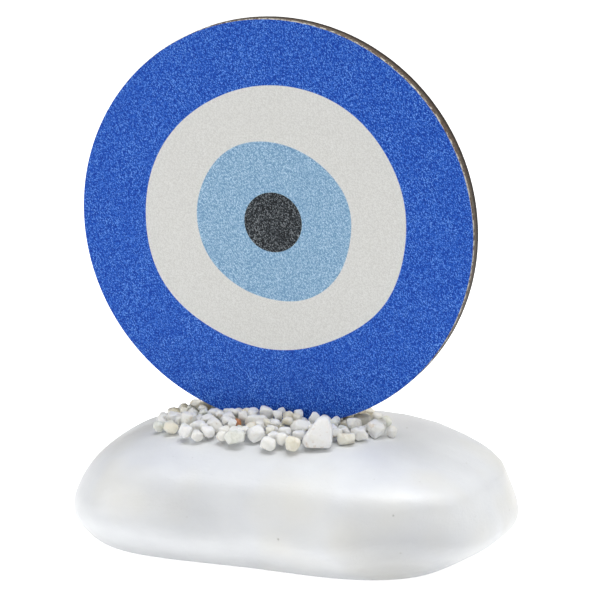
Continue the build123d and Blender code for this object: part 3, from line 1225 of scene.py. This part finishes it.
@dataclass
class Studio:
    """White floor, soft light from above, the right, the left and the front, and the camera."""

    disc_middle: Vector
    azimuth: float = 20.24
    elevation: float = 13.51
    distance: float = 0.8
    yaw: float = 19.735
    pitch: float = 14.933
    lens: float = 181.4
    floor_half: float = 3.0
    floor_glow: float = 0.17
    floor_glow_seen: float = 0.62
    sky_glow: float = 0.2
    panel_width: float = 0.5
    panel_aim: Vector = field(default_factory=lambda: Vector((0, 0, 0.06)))
    panels: tuple[Panel, ...] = (
        Panel("top_panel", (0, 0, 0.95), 5.2),
        Panel("back_right_panel", (0.35, 0.20, 0.85), 2.4),
        Panel("right_panel", (0.70, -0.15, 0.60), 1.7),
        Panel("left_panel", (-0.85, -0.55, 0.14), 3.8),
        Panel("front_panel", (-0.30, -0.95, 0.06), 0.5),
    )

    def build(self) -> None:
        """Set up everything round the ornament."""
        self.place_camera()
        self.lay_floor()
        self.light_world()
        for panel in self.panels:
            self.hang(panel)
        bpy.context.scene.view_settings.view_transform = "Standard"

    def place_camera(self) -> None:
        """The camera, to the right of the eye and a little above it, aimed slightly down."""
        turn, rise = math.radians(self.azimuth), math.radians(self.elevation)
        data = bpy.data.cameras.new("camera")
        data.lens = self.lens
        data.sensor_width = 36
        data.clip_start = 0.05
        data.clip_end = 20
        camera = bpy.data.objects.new("camera", data)
        back = Vector((math.sin(turn) * math.cos(rise), -math.cos(turn) * math.cos(rise), math.sin(rise)))
        camera.location = self.disc_middle + back * self.distance
        camera.rotation_euler = Euler((math.radians(90 - self.pitch), 0, math.radians(self.yaw)))
        bpy.context.collection.objects.link(camera)
        bpy.context.scene.camera = camera

    def lay_floor(self) -> None:
        """A pale floor that runs out of sight, and glows to white where it is seen directly."""
        half = self.floor_half
        white = Shading("floor_paper")
        fibres = white.grain(0.6, 2, 0.5)
        colour = white.mix(white.span(fibres, 0.4, 0.6), srgb(246, 246, 246), srgb(244, 244, 244))
        white.finish(colour, 0.9, 0.1)
        seen = self.seen_directly(white)
        white.surface.inputs["Emission Color"].default_value = (1, 1, 1, 1)
        shine = white.math("ADD", white.math("MULTIPLY", seen, self.floor_glow_seen), self.floor_glow)
        white.feed(shine, white.surface.inputs["Emission Strength"])
        corners = [(-half, -half, 0), (half, -half, 0), (half, half, 0), (-half, half, 0)]
        floor = piece_from("floor", corners, [(0, 1, 2, 3)], white.material)

    def seen_directly(self, shading: Shading) -> bpy.types.NodeSocket:
        """A value that tells what the camera sees from what only lights the ornament.

        Args:
            shading: The material under construction.

        Returns:
            1 where the camera looks straight, by a reflection or through glass, and 0 for other light.
        """
        path = shading.node("ShaderNodeLightPath")
        seen = shading.math("MAXIMUM", path.outputs["Is Camera Ray"], path.outputs["Is Glossy Ray"])
        return shading.math("MAXIMUM", seen, path.outputs["Is Transmission Ray"])

    def light_world(self) -> None:
        """Even light from all round, and white where the camera sees past the floor."""
        world = bpy.data.worlds.new("studio")
        world.use_nodes = True
        nodes, links = world.node_tree.nodes, world.node_tree.links
        path = nodes.new("ShaderNodeLightPath")
        seen = nodes.new("ShaderNodeMath")
        seen.operation = "MAXIMUM"
        links.new(path.outputs["Is Camera Ray"], seen.inputs[0])
        links.new(path.outputs["Is Transmission Ray"], seen.inputs[1])
        strength = nodes.new("ShaderNodeMapRange")
        links.new(seen.outputs[0], strength.inputs["Value"])
        strength.inputs["To Min"].default_value = self.sky_glow
        strength.inputs["To Max"].default_value = 1.0
        sky = nodes["Background"]
        sky.inputs["Color"].default_value = (1, 1, 1, 1)
        links.new(strength.outputs["Result"], sky.inputs["Strength"])
        bpy.context.scene.world = world

    def hang(self, panel: Panel) -> None:
        """Hang a lamp and turn it to the ornament.

        Args:
            panel: The lamp.
        """
        data = bpy.data.lights.new(panel.name, "AREA")
        data.size = self.panel_width
        data.energy = panel.power
        hung = bpy.data.objects.new(panel.name, data)
        hung.location = panel.place
        hung.rotation_euler = (self.panel_aim - hung.location).to_track_quat("-Z", "Y").to_euler()
        bpy.context.collection.objects.link(hung)


def main() -> None:
    """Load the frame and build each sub-assembly."""
    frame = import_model()
    nodes = frame["nodes"]
    slots = {entry["node"]: entry["material_slot"] for entry in frame["record"]["subparts"]}
    disc = EyeDisc(nodes)
    Studio(Vector((disc.middle.x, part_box("blue_field")[0].y, disc.middle.z))).build()
    StoneBase(nodes["stone_base"]).build()
    disc.build()
    SlotAdhesive(nodes["slot_adhesive"]).dress()
    Gravel(nodes, slots).build()


if __name__ == "__main__":
    logging.basicConfig(level=logging.INFO, format="%(name)s: %(message)s")
    main()
